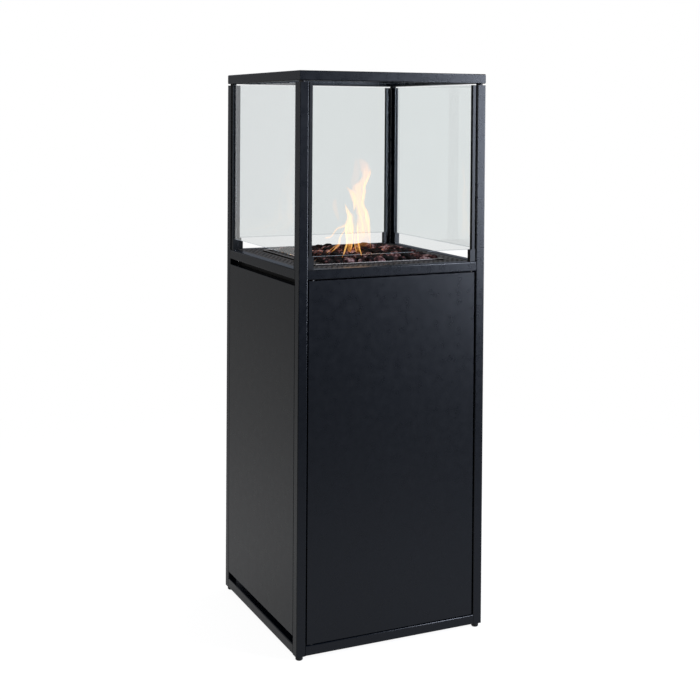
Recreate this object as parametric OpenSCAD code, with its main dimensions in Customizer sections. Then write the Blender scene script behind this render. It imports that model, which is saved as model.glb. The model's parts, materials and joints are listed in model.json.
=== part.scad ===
// Gas fire column: a square tube frame with a glass fire box on top of a
// cabinet for the gas bottle. Millimetres, +Z up, origin on the floor under
// the middle of the column. The door is on the -Y side.

/* [Frame] */
// Outer side of the square plan, over the posts
side = 400; // [380:1:460]
// Height of the deck rails' top over the posts' lower ends
cabinet_h = 725; // [690:1:800]
// Height of the posts' tops over the deck rails
window_h = 350; // [300:1:450]
// Outer side of the square tube
tube = 19; // [18:0.5:22]
// Wall of the square tube
tube_wall = 1.5; // [1:0.1:2]
// Outer corner radius of the square tube
tube_r = 2; // [1:0.1:2.5]

/* [Feet] */
// Height of the feet under the posts
foot_h = 8; // [6:0.5:14]
// Diameter of a foot
foot_d = 14; // [12:0.5:17]
// Length of the plugs that sit in the posts' ends
plug_len = 22; // [18:1:34]

/* [Cap] */
// Shadow gap between the posts and the cap
cap_gap = 3; // [2:0.5:6]
// Height of the cap's tube
cap_h = 19; // [16:0.5:24]
// Diameter of the spacers under the cap
cap_spacer_d = 13; // [11:0.5:15]
// Diameter of the studs that hold the cap
cap_stud_d = 6; // [5:0.5:8]
// Length of the studs inside the plugs
cap_stud_len = 14; // [10:1:16]

/* [Panels] */
// Thickness of the panel sheet
sheet = 1.5; // [1:0.1:2]
// Depth of a folded panel
pan_depth = 14; // [12:0.5:17]
// Width of the lip folded in behind a panel
pan_lip = 12; // [8:1:20]
// Gap between a panel and the posts
panel_gap = 0.6; // [0.3:0.1:0.9]
// Height of the vent slot over a panel
top_slot = 12; // [8:0.5:20]
// Height of the vent slot under a panel
bottom_slot = 15.5; // [8:0.5:24]
// Distance of the outer panel screws from a panel's ends
screw_inset = 60; // [30:5:120]
// Diameter of the panel screws
screw_d = 5; // [4:0.5:6]

/* [Door] */
// Gap at the door's hinge side, top and bottom
door_gap = 2; // [1.8:0.1:3]
// Gap at the door's opening side
latch_gap = 4; // [3:0.5:6]
// Distance of the hinge axis from the door's edge
hinge_inset = 10; // [9:0.5:12]
// Distance of the hinge axis behind the door's face
hinge_setback = 5; // [4.5:0.1:5.5]
// Diameter of the hinge pins
pin_d = 4; // [3.5:0.1:4.5]
// Wall of the hinge bushes
bush_wall = 0.8; // [0.7:0.1:0.9]
// Height of the door's stiffeners over its sheet
stiffener_h = 9; // [6:0.5:10]
// Width of the door's stiffeners
stiffener_w = 40; // [30:1:60]

/* [Latch] */
// Height of the latch as a share of the door's height
latch_at = 0.69; // [0.5:0.01:0.8]
// Diameter of the latch's plunger
plunger_d = 7; // [6:0.5:8]
// How far the plunger can be pressed in
plunger_travel = 3; // [2:0.5:5]
// Size of the latch's body along the door's depth
latch_len = 50; // [35:1:70]

/* [Glass] */
// Thickness of a pane
glass_t = 5; // [4:0.5:6]
// Air gap between the deck rails and the panes
pane_gap = 24; // [16:1:34]
// Gap between the posts' tops and the panes' tops
pane_top = 0; // [0:0.5:6]
// Width of a glass channel along the pane
channel_w = 6; // [5:0.5:9]
// Depth of a glass channel across the pane
channel_d = 10.5; // [9.5:0.5:12]
// Setback of the channels behind the posts' faces
channel_inset = 2.5; // [1:0.5:4]
// Gap between a channel and its post
channel_gap = 2.5; // [1.5:0.5:4]
// Play on each side of a pane in its channel
glass_play = 0.2; // [0.1:0.05:0.4]
// Thickness of the channel's web
channel_web = 1.5; // [1:0.1:2]
// Length of a support block along its rail
block_len = 12; // [10:1:20]
// Height of a clip
clip_h = 16; // [10:1:24]
// Distance of the clips from the channel's ends
clip_inset = 70; // [30:5:110]

/* [Deck] */
// Width of the deck sheet around the tray's opening
deck_border = 37; // [34:0.5:44]
// Setback of the deck sheet under the rails' tops
deck_drop = 1; // [0.5:0.1:3]
// Depth of the deck's folded edges
deck_flange = 12; // [11:0.5:14]
// Diameter of the holes in the deck
hole_d = 6.5; // [4:0.5:8]
// Distance between the holes in a row
hole_pitch = 11; // [10:0.5:16]
// Bare margin between the holes and the sheet's edges
hole_margin = 2; // [2:0.5:8]
// Thickness of the deck sheet
deck_t = 1.5; // [1:0.1:2]
// Reach of the deck's skirts below the vent slots
skirt_reach = 3; // [1:0.5:6]

/* [Burner] */
// Gap between the deck's opening and the tray
tray_gap = 4; // [3:0.5:8]
// Height of the tray's rim over the deck rails
tray_rise = 2; // [0.5:0.5:6]
// Outer depth of the tray
tray_depth = 36; // [32:1:44]
// Thickness of the tray's sheet
tray_t = 1.5; // [1:0.1:2]
// Diameter of the tray's rolled rim
rim_d = 3; // [2:0.2:4]
// Length of the bar burner
burner_l = 150; // [120:1:200]
// Width of the bar burner
burner_w = 30; // [26:1:30]
// Height of the bar burner
burner_h = 20; // [16:0.5:22]
// Diameter of the burner's ports
port_d = 2; // [1.5:0.1:3]
// Distance between the burner's ports
port_pitch = 10; // [8:0.5:20]
// Diameter of the burner's riser
riser_d = 20; // [16:1:24]
// Diameter of the mixer under the riser
mixer_d = 24; // [22:1:28]
// Length of the mixer
mixer_len = 34; // [28:1:40]
// Distance of the spark pin and the sensor from the middle
probe_at = 30.5; // [29:0.5:34]

/* [Stones] */
// Setback of the grate under the tray's rim
grate_drop = 3; // [2:0.5:6]
// Thickness of the grate
grate_t = 1.5; // [1:0.1:2]
// Number of stones along each side of the grate
stone_rows = 12; // [9:1:14]
// Least height of a stone
stone_low = 9; // [7:0.5:11]
// Most height of a stone
stone_high = 15; // [12:0.5:20]
// Mean width of the bare strip of the grate at the left
bare_w = 26; // [0:1:80]

/* [Supports] */
// Width of a tray hanger
hanger_w = 20; // [16:1:26]
// Reach of a tray hanger under the tray
hanger_foot = 16; // [12:1:30]
// Distance of the side hangers from the middle
hanger_at = 85; // [70:1:100]
// Thickness of the hangers and brackets
strap_t = 2; // [1.5:0.1:2.5]
// Distance of the heat shield under the hangers
shield_drop = 35; // [30:1:40]
// Thickness of the heat shield
shield_t = 1; // [0.8:0.1:1.5]
// Diameter of the shield's spacers
spacer_d = 10; // [8:0.5:12]
// Height of the floor plate over the posts' lower ends
floor_h = 12; // [8:0.5:16]
// Diameter of the floor plate's hole for a gas line from below
line_hole_d = 30; // [20:1:36]

/* [Controls] */
// Distance of the control plate behind the frame's face
control_setback = 56; // [52:1:57]
// Width of the control bracket
bracket_w = 100; // [92:1:110]
// Distance of the knob's axis under the deck rails' top
control_drop = 83; // [76:1:93]
// Distance of the igniter's axis from the posts beside it
igniter_inset = 56; // [50:1:60]
// Distance between the igniter's axis and the tap's
control_pitch = 50; // [46:1:56]
// Diameter of the knob
knob_d = 32; // [26:1:36]
// Depth of the knob
knob_len = 22; // [16:1:24]
// How far the knob can be pressed in
knob_travel = 4; // [2:0.5:5]
// Diameter of the tap's plug
plug_d = 12; // [11:0.5:14]
// Diameter of the spindle
spindle_d = 6; // [5:0.5:7]
// Diameter of the igniter's button
button_d = 12; // [10:0.5:13]
// How far the igniter's button can be pressed in
button_travel = 6; // [3:0.5:8]
// Diameter of the gas pipe
pipe_d = 8; // [6:0.5:9]
// Bend radius of the gas pipe
pipe_bend = 9; // [8:0.5:12]
// Diameter of the plain gas stub
stub_d = 8; // [7:0.5:10]
// Length of the gas stub under its nut
stub_len = 28; // [20:1:34]

/* [Hidden] */
$fn = 48;

// Colours
black_coat = "#23262c";
black_matt = "#15171a";
clear_glass = [0.85, 0.92, 0.9, 0.3];
steel = "#b8bcc0";
brass = "#b58a3c";
white_ceramic = "#e8e4da";
stone_red = "#4a2a26";

// Heights over the floor and half widths, from the sizes above
half = side / 2;
inner = half - tube;
z_base = foot_h;
z_deck = z_base + cabinet_h;
z_post = z_deck + window_h;
z_cap = z_post + cap_gap;
rail_len = side - 2 * tube;
tiny = 0.01;

// Clearances
fit = 0.05;      // running clearance on the radius
loose = 0.2;     // clearance on the radius round a screw
seat = 0.3;      // gap at a soft stop

// Turns a piece of the front side to side i: 0 front, 1 left, 2 rear, 3 right
module on_side(i) rotate([0, 0, -90 * i]) children();

// A box between two corners
module box(a, b) translate(a) cube(b - a);

// A cylinder from point a, along +Y
module rod_y(a, d, len) translate(a) rotate([-90, 0, 0]) cylinder(d = d, h = len);

// A rectangle round the origin with round corners
module round_rect(w, d, r) {
    square([w - 2 * r, d], center = true);
    square([w, d - 2 * r], center = true);
    for (x = [-1, 1], y = [-1, 1])
        translate([x * (w / 2 - r), y * (d / 2 - r)]) circle(r = r);
}

// The tube's section
module tube_section(w, d) difference() {
    round_rect(w, d, tube_r);
    square([w - 2 * tube_wall, d - 2 * tube_wall], center = true);
}

// Places of the panel screws: the middle of a pan's depth, on both ends
screw_z = [
    z_base + tube + bottom_slot + screw_inset,
    z_deck - tube - top_slot - screw_inset
];
screw_y = -half + pan_depth / 2;
module at_panel_screws() for (i = [1 : 3], z = screw_z)
    on_side(i) translate([0, screw_y, z]) children();

// Places of the deck screws: local x on each side
deck_screw_z = z_deck - deck_drop - deck_flange / 2 - deck_t / 2;
igniter_x = inner - igniter_inset;
tap_x = igniter_x - control_pitch;
bracket_x0 = (tap_x + igniter_x - bracket_w) / 2;
bracket_x1 = bracket_x0 + bracket_w;
bracket_screw_x = bracket_x1 - hanger_w;
function deck_screw_x(i) = i == 0 ? [-hanger_at, hanger_at, bracket_screw_x] : [-hanger_at, hanger_at];
module at_deck_screws(i) for (x = deck_screw_x(i)) translate([x, -inner, deck_screw_z]) children();
deck_screw_d = 4;

// Posts
module post(i) difference() {
    on_side(i) translate([-half + tube / 2, -half + tube / 2, z_base])
        linear_extrude(cabinet_h + window_h) tube_section(tube, tube);
    at_panel_screws() rotate([0, 90, 0])
        cylinder(d = screw_d + 2 * loose, h = 2 * inner + 2 * tube_wall + 2, center = true);
    if (i == 3) latch_screw_holes();
}
module post_front_left() color(black_coat) post(0);
module post_rear_left() color(black_coat) post(1);
module post_rear_right() color(black_coat) post(2);
module post_front_right() color(black_coat) post(3);

// A rail of the front side with its underside at z
module rail(z, h = tube) translate([0, -half + tube / 2, z + h / 2]) rotate([0, 90, 0])
    linear_extrude(rail_len, center = true) tube_section(h, tube);

// Hinge axis
door_x0 = -inner + door_gap;
door_x1 = inner - latch_gap;
door_z0 = z_base + tube + door_gap;
door_z1 = z_deck - tube - door_gap;
hinge_x = door_x0 + hinge_inset;
hinge_y = -half + hinge_setback;
bush_d = pin_d + 2 * fit + 2 * bush_wall;
bush_flange_d = bush_d + 2;
bush_flange_t = door_gap / 2;
module hinge_hole(z) translate([hinge_x, hinge_y, z])
    cylinder(d = bush_d + 2 * fit, h = tube_wall + 2, center = true);

module floor_rail_front() color(black_coat) difference() {
    rail(z_base);
    hinge_hole(z_base + tube - tube_wall / 2);
}
module floor_rail_left() color(black_coat) on_side(1) rail(z_base);
module floor_rail_rear() color(black_coat) on_side(2) rail(z_base);
module floor_rail_right() color(black_coat) on_side(3) rail(z_base);

// Deck rails, with the holes for the deck screws in their inner walls
module deck_rail(i) on_side(i) difference() {
    rail(z_deck - tube);
    at_deck_screws(i) rod_y([0, -tube_wall - 1, 0], deck_screw_d + 2 * loose, tube_wall + 2);
}
module deck_rail_front() color(black_coat) difference() {
    deck_rail(0);
    hinge_hole(z_deck - tube + tube_wall / 2);
}
module deck_rail_left() color(black_coat) deck_rail(1);
module deck_rail_rear() color(black_coat) deck_rail(2);
module deck_rail_right() color(black_coat) deck_rail(3);

// Feet: a round glide with a square plug in the post
plug_w = tube - 2 * tube_wall - 0.2;
module foot() {
    chamfer = foot_h / 6;
    rotate_extrude() polygon([
        [0, 0], [foot_d / 2 - chamfer, 0], [foot_d / 2, chamfer],
        [foot_d / 2, foot_h], [0, foot_h]
    ]);
    difference() {
        translate([-plug_w / 2, -plug_w / 2, foot_h]) cube([plug_w, plug_w, plug_len]);
        for (z = [1 : 3])
            translate([0, 0, foot_h + z * plug_len / 4]) plug_groove();
    }
}
// A groove round a plug, which leaves its ribs to grip the tube
module plug_groove() difference() {
    cube([plug_w + 2, plug_w + 2, plug_len / 10], center = true);
    cube([plug_w - 1, plug_w - 1, plug_len / 5], center = true);
}
module at_posts() for (i = [0 : 3]) on_side(i) translate([-half + tube / 2, -half + tube / 2, 0]) children();
module feet() color(black_matt) at_posts() foot();

// Plugs in the posts' tops, spacers and studs under the cap
module post_top_plugs() color(black_matt) at_posts() translate([0, 0, z_post]) difference() {
    translate([-plug_w / 2, -plug_w / 2, -plug_len]) cube([plug_w, plug_w, plug_len]);
    for (z = [1 : 3]) translate([0, 0, -z * plug_len / 4]) plug_groove();
    translate([0, 0, -cap_stud_len - 2]) cylinder(d = cap_stud_d + 2 * fit, h = cap_stud_len + 3);
}
module cap_spacers() color(black_matt) at_posts() translate([0, 0, z_post]) difference() {
    cylinder(d = cap_spacer_d, h = cap_gap);
    translate([0, 0, -1]) cylinder(d = cap_stud_d + 2 * loose, h = cap_gap + 2);
}
module cap_studs() color(steel) at_posts() translate([0, 0, z_cap - cap_gap - cap_stud_len])
    cylinder(d = cap_stud_d, h = cap_gap + cap_stud_len);

// Cap: four mitred tubes
module cap_frame() color(black_coat) for (i = [0 : 3]) on_side(i) intersection() {
    translate([0, -half + tube / 2, z_cap + cap_h / 2]) rotate([0, 90, 0])
        linear_extrude(side, center = true) tube_section(cap_h, tube);
    translate([0, 0, z_cap]) linear_extrude(cap_h) polygon([
        [-half, -half], [half, -half], [inner, -inner], [-inner, -inner]
    ]);
}

// A folded pan: a sheet with four returns and a lip behind, from x0 to x1
// and z0 to z1, its face at y = -half
module pan(x0, x1, z0, z1) difference() {
    box([x0, -half, z0], [x1, -half + pan_depth, z1]);
    box([x0 + sheet, -half + sheet, z0 + sheet], [x1 - sheet, -half + pan_depth - sheet, z1 - sheet]);
    box([x0 + pan_lip, -half + sheet, z0 + pan_lip], [x1 - pan_lip, -half + pan_depth + 1, z1 - pan_lip]);
}
panel_half = inner - panel_gap;
module panel() difference() {
    pan(-panel_half, panel_half, z_base + tube + bottom_slot, z_deck - tube - top_slot);
    for (z = screw_z) translate([0, screw_y, z]) rotate([0, 90, 0])
        cylinder(d = screw_d + 2 * loose, h = 2 * panel_half + 2, center = true);
}
module panel_left() color(black_coat) on_side(1) panel();
module panel_rear() color(black_coat) on_side(2) panel();
module panel_right() color(black_coat) on_side(3) panel();

// Panel screws: the head inside the pan, the shank through the pan and post
screw_head_d = 2 * screw_d - 1;
screw_head_h = 0.55 * screw_d;
screw_shank = sheet + panel_gap + tube_wall + 6;
module panel_screws() at_panel_screws() for (m = [0, 1]) mirror([m, 0, 0])
    translate([panel_half - sheet, 0, 0]) rotate([0, -90, 0]) {
        cylinder(d = screw_head_d, h = screw_head_h);
        translate([0, 0, -screw_shank]) cylinder(d = screw_d, h = screw_shank);
    }

// Floor plate: a shallow pan face up, with rows of vent holes
vent_d = 16;
vent_pitch = 60;
module floor_plate() color(black_coat) difference() {
    w = inner - seat;
    box([-w, -w, z_base + 1], [w, w, z_base + floor_h]);
    box([-w + sheet, -w + sheet, z_base], [w - sheet, w - sheet, z_base + floor_h - sheet]);
    for (x = [-1.5 : 1 : 1.5], y = [-1.5 : 1 : 1.5])
        translate([x * vent_pitch, y * vent_pitch, z_base + floor_h - sheet - 1])
            cylinder(d = vent_d, h = sheet + 2);
    translate([tap_x, way_y, z_base + floor_h - sheet - 1]) cylinder(d = line_hole_d, h = sheet + 2);
}

// Door
module door_panel() color(black_coat) difference() {
    pan(door_x0, door_x1, door_z0, door_z1);
    for (z = [door_z0 + sheet / 2, door_z1 - sheet / 2])
        translate([hinge_x, hinge_y, z]) cylinder(d = pin_d, h = sheet + 2, center = true);
}

// Stiffeners: two hat sections across the back of the door's sheet
hat_lip = stiffener_w / 5;
hat_half = stiffener_w / 2;
hat_core = hat_half - hat_lip;
module hat(z) translate([0, -half + sheet, z]) difference() {
    box([door_x0 + pan_lip + 1, 0, -hat_half], [door_x1 - pan_lip - 1, stiffener_h, hat_half]);
    box([-side, -1, sheet - hat_core], [side, stiffener_h - sheet, hat_core - sheet]);
    for (m = [0, 1]) mirror([0, 0, m]) box([-side, sheet, hat_core], [side, side, stiffener_w]);
}
module door_stiffeners() color(black_coat) for (k = [1, 2])
    hat(door_z0 + k * (door_z1 - door_z0) / 3);

// Hinge pins: a head inside the door and a shank into the rail's bush
pin_head_h = 2;
pin_reach = door_gap + tube_wall + 3;
module hinge_pin() {
    translate([0, 0, -pin_head_h]) cylinder(d = pin_d + 2.4, h = pin_head_h);
    cylinder(d = pin_d, h = sheet + pin_reach);
}
module hinge_pins() color(steel) translate([hinge_x, hinge_y, 0]) {
    translate([0, 0, door_z1 - sheet]) hinge_pin();
    translate([0, 0, door_z0 + sheet]) mirror([0, 0, 1]) hinge_pin();
}
module hinge_bush() difference() {
    union() {
        cylinder(d = bush_d, h = tube_wall + 1);
        translate([0, 0, -bush_flange_t]) cylinder(d = bush_flange_d, h = bush_flange_t);
    }
    translate([0, 0, -bush_flange_t - 1]) cylinder(d = pin_d + 2 * fit, h = tube_wall + bush_flange_t + 3);
}
module hinge_bushes() color(white_ceramic) translate([hinge_x, hinge_y, 0]) {
    translate([0, 0, z_deck - tube]) hinge_bush();
    translate([0, 0, z_base + tube]) mirror([0, 0, 1]) hinge_bush();
}

// Door stops: angles on the rails' inner faces that meet the door's lip
stop_w = 24;
stop_x = bracket_x0 - stop_w - 6;
stop_reach = pan_lip - 4;
stop_leg = tube - deck_drop - deck_flange - 1;
door_back = -half + pan_depth;
module door_stop() {
    box([stop_x, -inner, -stop_reach], [stop_x + stop_w, -inner + strap_t, stop_leg]);
    box([stop_x, door_back + seat, -stop_reach], [stop_x + stop_w, -inner + strap_t, -stop_reach + strap_t]);
}
module door_stops() color(black_coat) {
    translate([0, 0, z_deck - tube]) door_stop();
    translate([0, 0, z_base + tube]) mirror([0, 0, 1]) door_stop();
}

// Push latch on the right post and its strike plate on the door
latch_w = 16;
latch_height = 20;
latch_x = inner - latch_w / 2;
latch_y0 = -inner + 3;
latch_zc = door_z0 + latch_at * (door_z1 - door_z0);
latch_tab = 1.5;
latch_screw_d = 3;
latch_screw_y = -half + tube / 2;
latch_bore_end = latch_y0 + latch_len - 6;
strike_t = 1;
plunger_tip = door_back + strike_t + seat;
module at_latch_screws() for (z = [-1, 1])
    translate([inner - latch_tab, latch_screw_y, latch_zc + z * latch_height]) rotate([0, 90, 0]) children();
module latch_screw_holes() at_latch_screws()
    cylinder(d = latch_screw_d + 2 * loose, h = latch_tab + tube_wall + 1);
module latch_body() color(black_matt) difference() {
    union() translate([inner, 0, latch_zc]) {
        box([-latch_w, latch_y0, -latch_height / 2], [0, latch_y0 + latch_len, latch_height / 2]);
        box([-latch_tab, latch_screw_y - 4, -latch_height - 6], [0, latch_y0 + 10, latch_height + 6]);
    }
    rod_y([latch_x, -half, latch_zc], plunger_d + 2 * fit, latch_bore_end + half);
    at_latch_screws() cylinder(d1 = 2 * latch_screw_d, d2 = latch_screw_d + 2 * fit, h = latch_tab);
}
module latch_screws() at_latch_screws() {
    cylinder(d1 = 2 * latch_screw_d - 2 * fit, d2 = latch_screw_d, h = latch_tab);
    cylinder(d = latch_screw_d, h = latch_tab + tube_wall + 4);
}
module frame_screws() color(steel) {
    panel_screws();
    latch_screws();
    deck_screws();
}
plunger_len = latch_bore_end - 1 - plunger_travel - plunger_tip;
module latch_plunger() color(steel) rod_y([latch_x, plunger_tip, latch_zc], plunger_d, plunger_len);
module strike_plate() color(steel) box(
    [door_x1 - pan_lip, door_back, latch_zc - latch_height / 2],
    [door_x1, door_back + strike_t, latch_zc + latch_height / 2]
);

// Glass channels, their clips and blocks, and the panes
channel_x0 = -inner + channel_gap;
slot_x0 = channel_x0 + channel_web;
channel_x1 = channel_x0 + channel_w;
channel_y0 = -half + channel_inset;
channel_y1 = channel_y0 + channel_d;
pane_y = (channel_y0 + channel_y1) / 2;
pane_z0 = z_deck + pane_gap;
pane_half = -slot_x0 - seat;
module channel() linear_extrude(z_post - pane_z0) difference() {
    translate([channel_x0, channel_y0]) square([channel_w, channel_d]);
    translate([slot_x0, pane_y - glass_t / 2 - glass_play]) square([channel_w, glass_t + 2 * glass_play]);
}
module glass_channels() color(black_matt) for (i = [0 : 3], m = [0, 1]) on_side(i) mirror([m, 0, 0])
    translate([0, 0, pane_z0]) channel();

module glass(i) color(clear_glass) on_side(i) box(
    [-pane_half, pane_y - glass_t / 2, pane_z0],
    [pane_half, pane_y + glass_t / 2, z_post - pane_top]
);
module glass_front() glass(0);
module glass_left() glass(1);
module glass_rear() glass(2);
module glass_right() glass(3);

clip_z = [pane_z0 + clip_inset, z_post - clip_inset];
module channel_clips() color(black_matt) for (i = [0 : 3], m = [0, 1], z = clip_z)
    on_side(i) mirror([m, 0, 0]) box(
        [-inner, channel_y0 + 1, z - clip_h / 2],
        [channel_x0, channel_y1 - 1, z + clip_h / 2]
    );
module pane_blocks() color(black_matt) for (i = [0 : 3], m = [0, 1]) on_side(i) mirror([m, 0, 0]) box(
    [-inner + seat, channel_y0, z_deck],
    [-inner + seat + block_len, channel_y1, pane_z0]
);

// Deck: one perforated sheet with folded edges round a square opening; on three
// sides the edges reach down as skirts that screen the vent slots
deck_half = inner - seat;
deck_in = inner - deck_border;
z_sheet = z_deck - deck_drop;
z_fold = z_sheet - deck_flange;
hole_edge = hole_margin + hole_d / 2;
row_pitch = hole_pitch * sin(60);
// Centres of the holes of a staggered pattern, rows along X, up to a limit
function staggered(limit) = [
    for (j = [-floor(limit / row_pitch) : floor(limit / row_pitch)])
    let (shift = (j % 2 == 0) ? 0 : hole_pitch / 2)
    for (k = [ceil((-limit - shift) / hole_pitch) : floor((limit - shift) / hole_pitch)])
    [k * hole_pitch + shift, j * row_pitch]
];
module punched(centres, z, t) for (p = centres)
    translate([p[0], p[1], z - t - 1]) cylinder(d = hole_d, h = t + 2, $fn = 24);
z_skirt = z_deck - tube - top_slot - skirt_reach;
module skirts() for (i = [1 : 3])
    on_side(i) box([-deck_half, -deck_half, z_skirt], [deck_half, deck_face, z_fold + tiny]);
module deck_grille() color("#4b4f52") {
    skirts();
    deck_sheet();
}
module deck_sheet() difference() {
    box([-deck_half, -deck_half, z_fold], [deck_half, deck_half, z_sheet]);
    box([-deck_in, -deck_in, z_fold - 1], [deck_in, deck_in, z_sheet + 1]);
    difference() {
        w = deck_half - deck_t;
        v = deck_in + deck_t;
        box([-w, -w, z_fold - 1], [w, w, z_sheet - deck_t]);
        box([-v, -v, z_fold - 2], [v, v, z_sheet]);
    }
    punched([
        for (p = staggered(deck_half - hole_edge))
        if (max(abs(p[0]), abs(p[1])) > deck_in + hole_edge) p
    ], z_sheet, deck_t);
    for (i = [0 : 3]) on_side(i) at_deck_screws(i)
        rod_y([0, -1, 0], deck_screw_d + 2 * loose, deck_t + 3);
}

// Deck screws: through the hanger or bracket and the deck's edge into the rail
deck_face = -deck_half + deck_t;
function clamped(i, x) = (i % 2 == 1 || (i == 0 && x > 0)) ? strap_t : 0;
module deck_screws() for (i = [0 : 3]) on_side(i) for (x = deck_screw_x(i)) {
    head_y = deck_face + clamped(i, x);
    rod_y([x, head_y, deck_screw_z], 2 * deck_screw_d - 1, 2.2);
    rod_y([x, -inner - tube_wall - 4, deck_screw_z], deck_screw_d, head_y + inner + tube_wall + 4);
}

// Burner tray
tray_half = deck_in - tray_gap;
z_rim = z_deck + tray_rise;
z_tray = z_rim - tray_depth;
z_stones = z_tray + tray_t;
tray_in = tray_half - tray_t;
probe_hole_d = 8;
rim_at = tray_half - tray_t / 2;
module rolled_rim() translate([0, 0, z_rim - rim_d / 2]) for (i = [0 : 3]) on_side(i) {
    translate([-rim_at, -rim_at, 0]) rotate([0, 90, 0]) cylinder(d = rim_d, h = 2 * rim_at, $fn = 24);
    translate([-rim_at, -rim_at, 0]) sphere(d = rim_d, $fn = 24);
}
module burner_tray() color("#2b2826") {
    rolled_rim();
    tray_sheet();
}
module tray_sheet() difference() {
    box([-tray_half, -tray_half, z_tray], [tray_half, tray_half, z_rim]);
    box([-tray_in, -tray_in, z_stones], [tray_in, tray_in, z_rim + 1]);
    translate([0, 0, z_tray - 1]) cylinder(d = riser_d + 2, h = tray_t + 2);
    for (x = [-1, 1]) translate([x * probe_at, -probe_at, z_tray - 1])
        cylinder(d = probe_hole_d, h = tray_t + 2);
}

// Tray hangers: angles from the side rails to under the tray
hanger_x = tray_half - hanger_foot;
module hanger() {
    on_side(1) difference() {
        box(
            [-hanger_w / 2, deck_face, z_tray - strap_t],
            [hanger_w / 2, deck_face + strap_t, z_sheet - deck_t]
        );
        rod_y([0, deck_face - 1, deck_screw_z], deck_screw_d + 2 * loose, strap_t + 2);
    }
    box([deck_face + strap_t - tiny, -hanger_w / 2, z_tray - strap_t], [-hanger_x, hanger_w / 2, z_tray]);
}
module at_hangers() for (m = [0, 1], y = [-1, 1])
    mirror([m, 0, 0]) translate([0, y * hanger_at, 0]) children();
module tray_hangers() color(black_coat) at_hangers() hanger();

// Heat shield on its spacers
spacer_x = -hanger_x - spacer_d / 2 - 1;
z_shield = z_tray - strap_t - shield_drop;
shield_front = -hanger_at - 12;
shield_half = hanger_x + spacer_d + 8;
lead_hole_d = 8;
module shield_spacers() color(steel) at_hangers() translate([spacer_x, 0, z_shield])
    cylinder(d = spacer_d, h = shield_drop, $fn = 24);
module heat_shield() color(steel) difference() {
    box([-shield_half, shield_front, z_shield - shield_t], [shield_half, shield_half, z_shield]);
    translate([0, 0, z_shield - shield_t - 1]) cylinder(d = mixer_d + 6, h = shield_t + 2);
    for (p = [[igniter_x, spark_route_y], [sensor_x, sensor_route_y]])
        translate([p[0], p[1], z_shield - shield_t - 1]) cylinder(d = lead_hole_d, h = shield_t + 2);
}

// Bar burner: a hollow bar with two rows of ports and a riser
module bar_burner() color("#8e9194") difference() {
    union() {
        box([-burner_l / 2, -burner_w / 2, z_stones], [burner_l / 2, burner_w / 2, z_stones + burner_h]);
        translate([0, 0, z_tray - 8]) cylinder(d = riser_d, h = 10);
    }
    box(
        [-burner_l / 2 + tray_t, -burner_w / 2 + tray_t, z_stones + tray_t],
        [burner_l / 2 - tray_t, burner_w / 2 - tray_t, z_stones + burner_h - tray_t]
    );
    translate([0, 0, z_tray - 9]) cylinder(d = riser_d - 4, h = 14);
    ports = floor((burner_l / 2 - 6) / port_pitch);
    for (x = [-ports : ports], y = [-1, 1])
        translate([x * port_pitch, y * burner_w / 4, z_stones + burner_h - tray_t - 1])
            cylinder(d = port_d, h = tray_t + 2, $fn = 16);
}

// Mixer under the riser, with its air holes and the jet's port below
z_mixer = z_tray - 8 - mixer_len;
jet_len = 6;
module gas_mixer() color(brass) translate([0, 0, z_mixer]) difference() {
    union() {
        cylinder(d = mixer_d, h = mixer_len);
        translate([0, 0, mixer_len]) cylinder(d = mixer_d, h = 6);
        translate([0, 0, -jet_len]) cylinder(d = pipe_d + 5, h = jet_len, $fn = 6);
    }
    translate([0, 0, 5]) cylinder(d = riser_d - 4, h = mixer_len);
    translate([0, 0, mixer_len]) cylinder(d = riser_d + 2 * fit, h = 7);
    for (a = [0, 90]) rotate([0, 0, a]) rod_y([0, -mixer_d, 14], 8, 2 * mixer_d);
    translate([0, 0, -7]) cylinder(d = 1.5, h = 14);
}

// Grate: a perforated sheet in the tray, on folded legs at its corners
grate_half = rim_at - rim_d / 2 - seat;
z_grate = z_rim - grate_drop;
grate_fold = 8;
leg_w = 22;
module stone_grate() color("#4b4f52") difference() {
    w = grate_half - grate_t;
    box([-grate_half, -grate_half, z_stones], [grate_half, grate_half, z_grate]);
    box([-w, -w, z_stones - 1], [w, w, z_grate - grate_t]);
    for (i = [0, 1]) on_side(i)
        box([-side, leg_w - grate_half, z_stones - 1], [side, grate_half - leg_w, z_grate - grate_fold]);
    punched(staggered(grate_half - hole_edge), z_grate, grate_t);
}

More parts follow.
